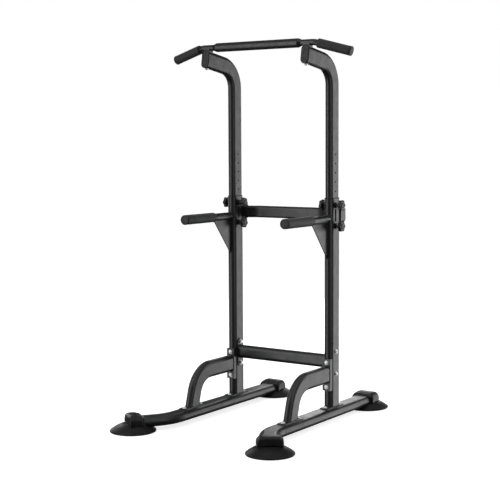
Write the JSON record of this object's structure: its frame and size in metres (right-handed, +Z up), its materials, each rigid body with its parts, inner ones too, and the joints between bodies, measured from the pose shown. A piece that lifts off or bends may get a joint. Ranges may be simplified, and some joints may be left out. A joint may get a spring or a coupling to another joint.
{
  "type": "power tower",
  "caption": "Free-standing pull-up and dip tower: flat-oval uprights, arched base braces, foam dip handles, a height-adjustable goosenecked upper frame and suction-cup feet.",
  "frame": {"origin": "middle of the bounding box in plan, on the floor under the feet", "axes": "+Z up, -Y the front, towards which the dip handles and the goosenecks point, +X the right-hand side frame"},
  "size_m": [1.0346, 1.3031, 1.8726],
  "materials": {
    "frame_paint": "satin powder coat",
    "bare_steel": "zinc plated",
    "bolt_zinc": "bright zinc",
    "foot_rubber": "satin moulded",
    "foot_hood": "satin moulded",
    "grip_foam": "matte closed-cell foam",
    "black_plastic": "fine grain",
    "knob_plastic": "fine grain"
  },
  "bodies": {
    "base": {"front_rail_left": "frame_paint", "front_rail_right": "frame_paint", "rear_rail_left": "frame_paint", "rear_rail_right": "frame_paint", "rail_sleeves": "bare_steel", "dish_front_left": "foot_rubber", "dish_front_right": "foot_rubber", "dish_rear_left": "foot_rubber", "dish_rear_right": "foot_rubber", "hood_front_left": "foot_hood", "hood_front_right": "foot_hood", "hood_rear_left": "foot_hood", "hood_rear_right": "foot_hood", "arch_brace_left": "frame_paint", "arch_brace_right": "frame_paint", "arch_flanges": "frame_paint", "arch_foot_plates": "frame_paint", "upright_foot_plates": "frame_paint", "lower_upright_left": "frame_paint", "lower_upright_right": "frame_paint", "guide_bushes": "black_plastic", "lower_crossbar": "frame_paint", "crossbar_plates": "frame_paint", "back_brace": "frame_paint", "brace_brackets": "frame_paint", "dip_handle_left": "frame_paint", "dip_handle_right": "frame_paint", "dip_grip_left": "grip_foam", "dip_grip_right": "grip_foam", "dip_end_caps": "black_plastic", "dip_gusset_left": "frame_paint", "dip_gusset_right": "frame_paint", "foot_bolts": "bolt_zinc", "flange_bolts": "bolt_zinc", "crossbar_bolts": "bolt_zinc", "bracket_screws": "bolt_zinc"},
    "upper_frame": {"gooseneck_left": "frame_paint", "gooseneck_right": "frame_paint", "gooseneck_caps": "black_plastic", "pullup_bar": "frame_paint", "bar_arm_left": "frame_paint", "bar_arm_right": "frame_paint", "bar_grip_left": "grip_foam", "bar_grip_right": "grip_foam", "bar_end_caps": "black_plastic", "bar_saddles": "frame_paint", "saddle_bolts": "bolt_zinc"},
    "pin_left_outer": {"lock_pin_left_outer": "bare_steel"},
    "knob_left_outer": {"upper_knob_left_outer": "knob_plastic"},
    "clamp_left_outer": {"lower_knob_left_outer": "knob_plastic"},
    "pin_left_inner": {"lock_pin_left_inner": "bare_steel"},
    "knob_left_inner": {"upper_knob_left_inner": "knob_plastic"},
    "clamp_left_inner": {"lower_knob_left_inner": "knob_plastic"},
    "pin_right_outer": {"lock_pin_right_outer": "bare_steel"},
    "knob_right_outer": {"upper_knob_right_outer": "knob_plastic"},
    "clamp_right_outer": {"lower_knob_right_outer": "knob_plastic"},
    "pin_right_inner": {"lock_pin_right_inner": "bare_steel"},
    "knob_right_inner": {"upper_knob_right_inner": "knob_plastic"},
    "clamp_right_inner": {"lower_knob_right_inner": "knob_plastic"}
  },
  "joints": [
    {"name": "mast_slide", "type": "slide", "parent": "base", "child": "upper_frame", "axis": [0, 0, 1], "range_m": [-0.249, 0.09]},
    {"name": "pin_slide_left_outer", "type": "slide", "parent": "base", "child": "pin_left_outer", "axis": [1, 0, 0], "range_m": [0, 0.005]},
    {"name": "knob_turn_left_outer", "type": "hinge", "parent": "pin_left_outer", "child": "knob_left_outer", "pos_m": [-0.342, 0.18135, 1.0735], "axis": [1, 0, 0], "range_deg": [0, 720]},
    {"name": "clamp_turn_left_outer", "type": "hinge", "parent": "base", "child": "clamp_left_outer", "pos_m": [-0.342, 0.18135, 0.9715], "axis": [1, 0, 0], "range_deg": [-90, 0]},
    {"name": "pin_slide_left_inner", "type": "slide", "parent": "base", "child": "pin_left_inner", "axis": [-1, 0, 0], "range_m": [0, 0.005]},
    {"name": "knob_turn_left_inner", "type": "hinge", "parent": "pin_left_inner", "child": "knob_left_inner", "pos_m": [-0.238, 0.18135, 1.0735], "axis": [-1, 0, 0], "range_deg": [0, 720]},
    {"name": "clamp_turn_left_inner", "type": "hinge", "parent": "base", "child": "clamp_left_inner", "pos_m": [-0.238, 0.18135, 0.9715], "axis": [-1, 0, 0], "range_deg": [-90, 0]},
    {"name": "pin_slide_right_outer", "type": "slide", "parent": "base", "child": "pin_right_outer", "axis": [-1, 0, 0], "range_m": [0, 0.005]},
    {"name": "knob_turn_right_outer", "type": "hinge", "parent": "pin_right_outer", "child": "knob_right_outer", "pos_m": [0.342, 0.18135, 1.0735], "axis": [-1, 0, 0], "range_deg": [0, 720]},
    {"name": "clamp_turn_right_outer", "type": "hinge", "parent": "base", "child": "clamp_right_outer", "pos_m": [0.342, 0.18135, 0.9715], "axis": [-1, 0, 0], "range_deg": [-90, 0]},
    {"name": "pin_slide_right_inner", "type": "slide", "parent": "base", "child": "pin_right_inner", "axis": [1, 0, 0], "range_m": [0, 0.005]},
    {"name": "knob_turn_right_inner", "type": "hinge", "parent": "pin_right_inner", "child": "knob_right_inner", "pos_m": [0.238, 0.18135, 1.0735], "axis": [1, 0, 0], "range_deg": [0, 720]},
    {"name": "clamp_turn_right_inner", "type": "hinge", "parent": "base", "child": "clamp_right_inner", "pos_m": [0.238, 0.18135, 0.9715], "axis": [1, 0, 0], "range_deg": [-90, 0]}
  ],
  "couplings": [
    {"joint": "pin_slide_left_outer", "follows": "knob_turn_left_outer", "m_per_rad": 0.00039789},
    {"joint": "pin_slide_left_inner", "follows": "knob_turn_left_inner", "m_per_rad": 0.00039789},
    {"joint": "pin_slide_right_outer", "follows": "knob_turn_right_outer", "m_per_rad": 0.00039789},
    {"joint": "pin_slide_right_inner", "follows": "knob_turn_right_inner", "m_per_rad": 0.00039789}
  ]
}
